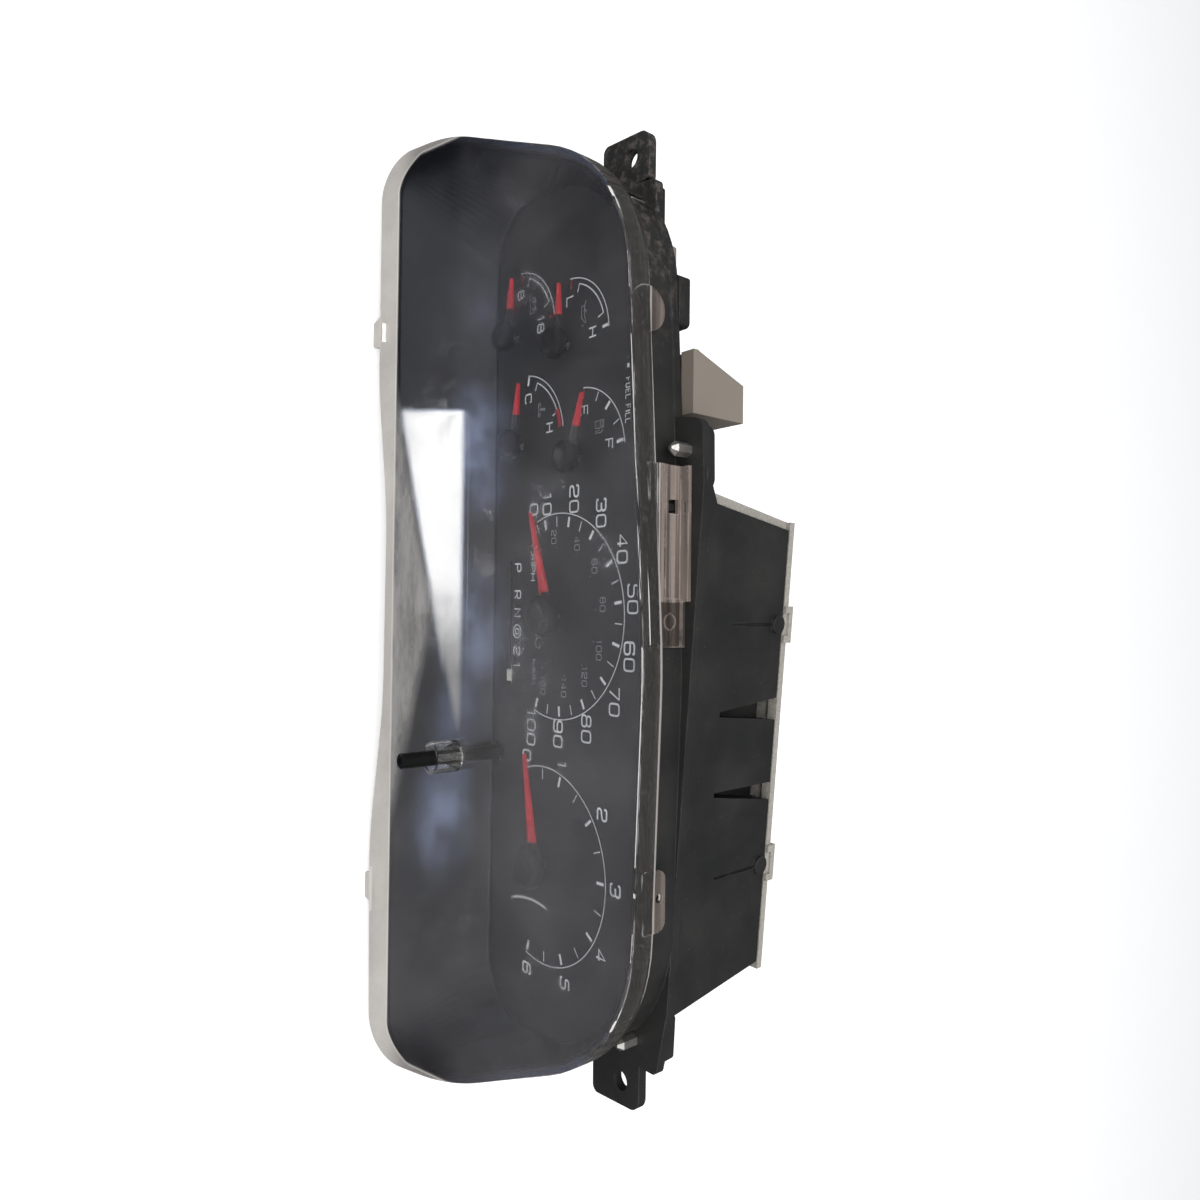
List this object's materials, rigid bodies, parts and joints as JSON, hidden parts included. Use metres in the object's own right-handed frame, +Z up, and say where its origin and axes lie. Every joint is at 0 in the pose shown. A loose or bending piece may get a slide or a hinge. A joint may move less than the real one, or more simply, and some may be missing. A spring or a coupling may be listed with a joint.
{
  "type": "instrument cluster",
  "caption": "Wide vehicle instrument cluster with speedometer, tachometer and small gauges under a slanted clear lens, on a black housing with mounting ears and a white rear cover.",
  "frame": {"origin": "centre of the four mounting holes, on the back face of the ears", "axes": "+X to the driver's right along the cluster, +Z up, -Y towards the driver"},
  "size_m": [0.4407, 0.1481, 0.1775],
  "materials": {
    "lens": "clear moulded plastic, scratched and dusty",
    "mask": "gloss black moulded plastic",
    "dial": "satin dark grey print with light grey markings",
    "light_guide": "clear polished plastic",
    "housing": "finely textured black plastic",
    "cover": "satin off-white plastic",
    "flex": "glossy printed film with copper tracks",
    "socket": "satin dark grey plastic",
    "bulb": "clear glass",
    "connector": "satin dark grey plastic",
    "connector_light": "satin grey plastic",
    "contact": "tin-plated brass",
    "screw": "zinc-plated steel, lightly dulled",
    "inner_plastic": "satin black plastic",
    "coil": "lacquered copper winding",
    "needle": "satin red, translucent",
    "hub": "semi-gloss black plastic",
    "rail": "plain steel",
    "pointer": "satin off-white plastic",
    "stem": "satin black plastic",
    "display": "dark display glass"
  },
  "bodies": {
    "cluster": {"lens": "lens", "mask": "mask", "dial_plate": "dial", "light_guide": "light_guide", "housing": "housing", "gauge_carrier": "cover", "rear_cover": "cover", "flex_circuit": "flex", "bulb_sockets": "socket", "bulbs": "bulb", "connector_left": "connector", "connector_right": "connector_light", "connector_pins": "contact", "hex_screws": "screw", "movement_terminals": "contact", "speedo_movement": "inner_plastic", "tach_movement": "inner_plastic", "volt_movement": "inner_plastic", "oil_movement": "inner_plastic", "temp_movement": "inner_plastic", "fuel_movement": "inner_plastic", "speedo_coil": "coil", "tach_coil": "coil", "volt_coil": "coil", "oil_coil": "coil", "temp_coil": "coil", "fuel_coil": "coil", "shift_rail": "rail", "stem_spring": "rail", "stem_guide": "inner_plastic", "trip_switch": "inner_plastic", "odometer_display": "display"},
    "speedo_hand": {"speedo_needle": "needle", "speedo_hub": "hub", "speedo_shaft": "rail"},
    "tach_hand": {"tach_needle": "needle", "tach_hub": "hub", "tach_shaft": "rail"},
    "volt_hand": {"volt_needle": "needle", "volt_hub": "hub", "volt_shaft": "rail"},
    "oil_hand": {"oil_needle": "needle", "oil_hub": "hub", "oil_shaft": "rail"},
    "temp_hand": {"temp_needle": "needle", "temp_hub": "hub", "temp_shaft": "rail"},
    "fuel_hand": {"fuel_needle": "needle", "fuel_hub": "hub", "fuel_shaft": "rail"},
    "trip_button": {"trip_stem": "stem"},
    "gear_pointer": {"shift_pointer": "pointer"}
  },
  "joints": [
    {"name": "speedo_sweep", "type": "hinge", "parent": "cluster", "child": "speedo_hand", "pos_m": [0.0005, -0.0252, 0.019], "axis": [0, 1, 0], "range_deg": [-3.4, 217], "stiffness_Nm_per_rad": 0.000001},
    {"name": "tach_sweep", "type": "hinge", "parent": "cluster", "child": "tach_hand", "pos_m": [0.1104, -0.0252, 0.0111], "axis": [0, 1, 0], "range_deg": [-9, 205.5], "stiffness_Nm_per_rad": 0.000001},
    {"name": "volt_sweep", "type": "hinge", "parent": "cluster", "child": "volt_hand", "pos_m": [-0.1292, -0.0252, -0.0148], "axis": [0, 1, 0], "range_deg": [0, 77], "stiffness_Nm_per_rad": 0.000001},
    {"name": "oil_sweep", "type": "hinge", "parent": "cluster", "child": "oil_hand", "pos_m": [-0.1172, -0.0252, 0.024], "axis": [0, 1, 0], "range_deg": [0, 87], "stiffness_Nm_per_rad": 0.000001},
    {"name": "temp_sweep", "type": "hinge", "parent": "cluster", "child": "temp_hand", "pos_m": [-0.0779, -0.0252, -0.0097], "axis": [0, 1, 0], "range_deg": [0, 74], "stiffness_Nm_per_rad": 0.000001},
    {"name": "fuel_sweep", "type": "hinge", "parent": "cluster", "child": "fuel_hand", "pos_m": [-0.0668, -0.0252, 0.0334], "axis": [0, 1, 0], "range_deg": [-10, 66], "stiffness_Nm_per_rad": 0.000001},
    {"name": "trip_push", "type": "slide", "parent": "cluster", "child": "trip_button", "axis": [0, 1, 0], "range_m": [0, 0.003], "stiffness_N_per_m": 400, "springref_m": -0.001, "deforming": ["stem_spring"]},
    {"name": "gear_slide", "type": "slide", "parent": "cluster", "child": "gear_pointer", "axis": [-1, 0, 0], "range_m": [0, 0.0495], "stiffness_N_per_m": 20, "springref_m": -0.005}
  ]
}
